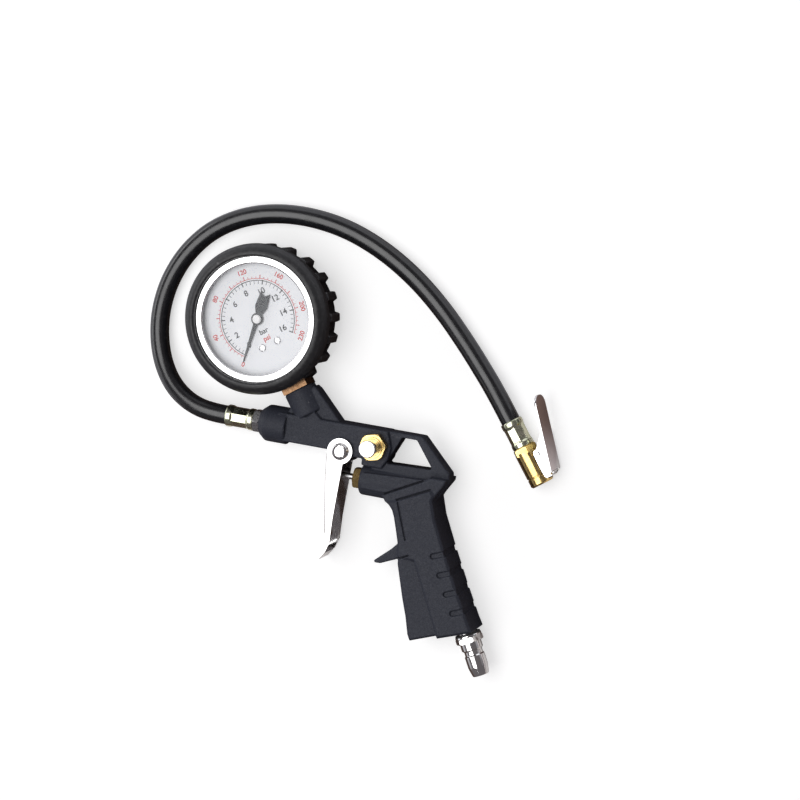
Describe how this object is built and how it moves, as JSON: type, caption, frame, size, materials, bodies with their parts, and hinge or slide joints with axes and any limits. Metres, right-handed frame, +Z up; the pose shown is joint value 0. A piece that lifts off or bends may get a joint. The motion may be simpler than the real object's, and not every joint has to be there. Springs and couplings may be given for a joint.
{
  "type": "tyre inflator with gauge",
  "caption": "Pistol-grip tyre inflator: coated casting with sprung trigger, round dial gauge in a rubber boot, air plug, release button and a hose with a clip-on valve chuck.",
  "frame": {"origin": "middle of the footprint of the tool without its hose, on the surface it lies on", "axes": "+Z up out of the gauge face, +Y from the grip towards the gauge, +X along the barrel towards the back of the grip"},
  "size_m": [0.2289, 0.2238, 0.0325],
  "materials": {
    "coated_casting": "fine textured powder coat, near black",
    "chrome": "bright plated",
    "steel": "zinc plated steel",
    "bezel_plating": "bright satin plated",
    "brass": "machined, bright",
    "stem_brass": "dull coppery brass",
    "spring_bronze": "drawn bronze",
    "ferrule_zinc": "pale yellow zinc plated",
    "hose_rubber": "smooth, slightly glossy black",
    "boot_rubber": "satin black",
    "seal_rubber": "matt black",
    "dial_face": "white printed face with black and red scales",
    "lens_clear": "clear",
    "pointer_black": "matt black",
    "hub_white": "white"
  },
  "bodies": {
    "gun": {"gun_body": "coated_casting", "inlet_plug": "chrome", "inlet_seal": "seal_rubber", "hose_tail": "steel", "gun_ferrule": "ferrule_zinc", "gun_hose_end": "hose_rubber", "hose": "hose_rubber", "trigger_rivet": "chrome", "valve_gland": "brass", "stem_o_ring": "seal_rubber", "valve_spring": "steel", "bleed_nut": "brass", "bleed_spring": "steel", "gauge_boot": "boot_rubber", "gauge_case": "steel", "gauge_bezel": "bezel_plating", "gauge_lens": "lens_clear", "lens_gasket": "seal_rubber", "gauge_dial": "dial_face", "dial_screws": "steel", "gauge_stem": "stem_brass", "stem_seal": "seal_rubber", "bourdon_tube": "spring_bronze", "bourdon_tip": "spring_bronze", "movement_frame": "brass", "movement_top": "brass", "movement_screws": "steel", "hair_spring": "spring_bronze", "chuck_ferrule": "ferrule_zinc", "chuck_hose_end": "hose_rubber", "chuck_body": "brass", "chuck_seal": "seal_rubber", "core_spring": "steel", "lever_pin": "chrome", "lever_spring": "steel"},
    "trigger": {"trigger_lever": "chrome"},
    "main_valve": {"valve_stem": "steel", "valve_poppet": "brass", "poppet_seal": "seal_rubber"},
    "release_button": {"bleed_button": "chrome", "bleed_seal": "seal_rubber"},
    "sector": {"sector_gear": "brass"},
    "pointer": {"pointer_shaft": "brass", "gauge_pointer": "pointer_black", "pointer_hub": "hub_white"},
    "link": {"link_bar": "brass"},
    "clip_lever": {"chuck_lever": "chrome"},
    "core_pusher": {"core_pin": "steel"}
  },
  "joints": [
    {"name": "trigger_hinge", "type": "hinge", "parent": "gun", "child": "trigger", "pos_m": [0, 0.00217, 0.0125], "axis": [0, 0, 1], "range_deg": [0, 16], "stiffness_Nm_per_rad": 0.5, "springref_deg": -22.92},
    {"name": "main_valve_slide", "type": "slide", "parent": "gun", "child": "main_valve", "axis": [1, 0, 0], "range_m": [0, 0.0037], "deforming": ["valve_spring"]},
    {"name": "release_button_slide", "type": "slide", "parent": "gun", "child": "release_button", "axis": [0, 0, -1], "range_m": [0, 0.002], "stiffness_N_per_m": 600, "springref_m": -0.004, "deforming": ["bleed_spring"]},
    {"name": "sector_turn", "type": "hinge", "parent": "gun", "child": "sector", "pos_m": [-0.04457, 0.0516, 0.0125], "axis": [0, 0, 1], "range_deg": [0, 33.75], "stiffness_Nm_per_rad": 0.0003, "springref_deg": -5.73},
    {"name": "pointer_turn", "type": "hinge", "parent": "gun", "child": "pointer", "pos_m": [-0.05232, 0.06266, 0.0125], "axis": [0, 0, 1], "range_deg": [-270, 0]},
    {"name": "link_turn", "type": "hinge", "parent": "sector", "child": "link", "pos_m": [-0.03847, 0.05382, 0.0125], "axis": [0, 0, 1], "range_deg": [-33.75, 0]},
    {"name": "clip_lever_hinge", "type": "hinge", "parent": "gun", "child": "clip_lever", "pos_m": [0.10085, 0.01819, 0.00805], "axis": [-0.1398, -0.103, 0.9848], "range_deg": [0, 12], "stiffness_Nm_per_rad": 0.15, "springref_deg": -28.65, "deforming": ["lever_spring"]},
    {"name": "core_pusher_slide", "type": "slide", "parent": "gun", "child": "core_pusher", "axis": [-0.5934, 0.8049, 0], "range_m": [0, 0.0015], "stiffness_N_per_m": 150, "springref_m": -0.002, "deforming": ["core_spring"]}
  ],
  "couplings": [
    {"joint": "main_valve_slide", "follows": "trigger_hinge", "m_per_rad": 0.0132},
    {"joint": "pointer_turn", "follows": "sector_turn", "ratio": -8},
    {"joint": "link_turn", "follows": "sector_turn", "ratio": -1}
  ]
}
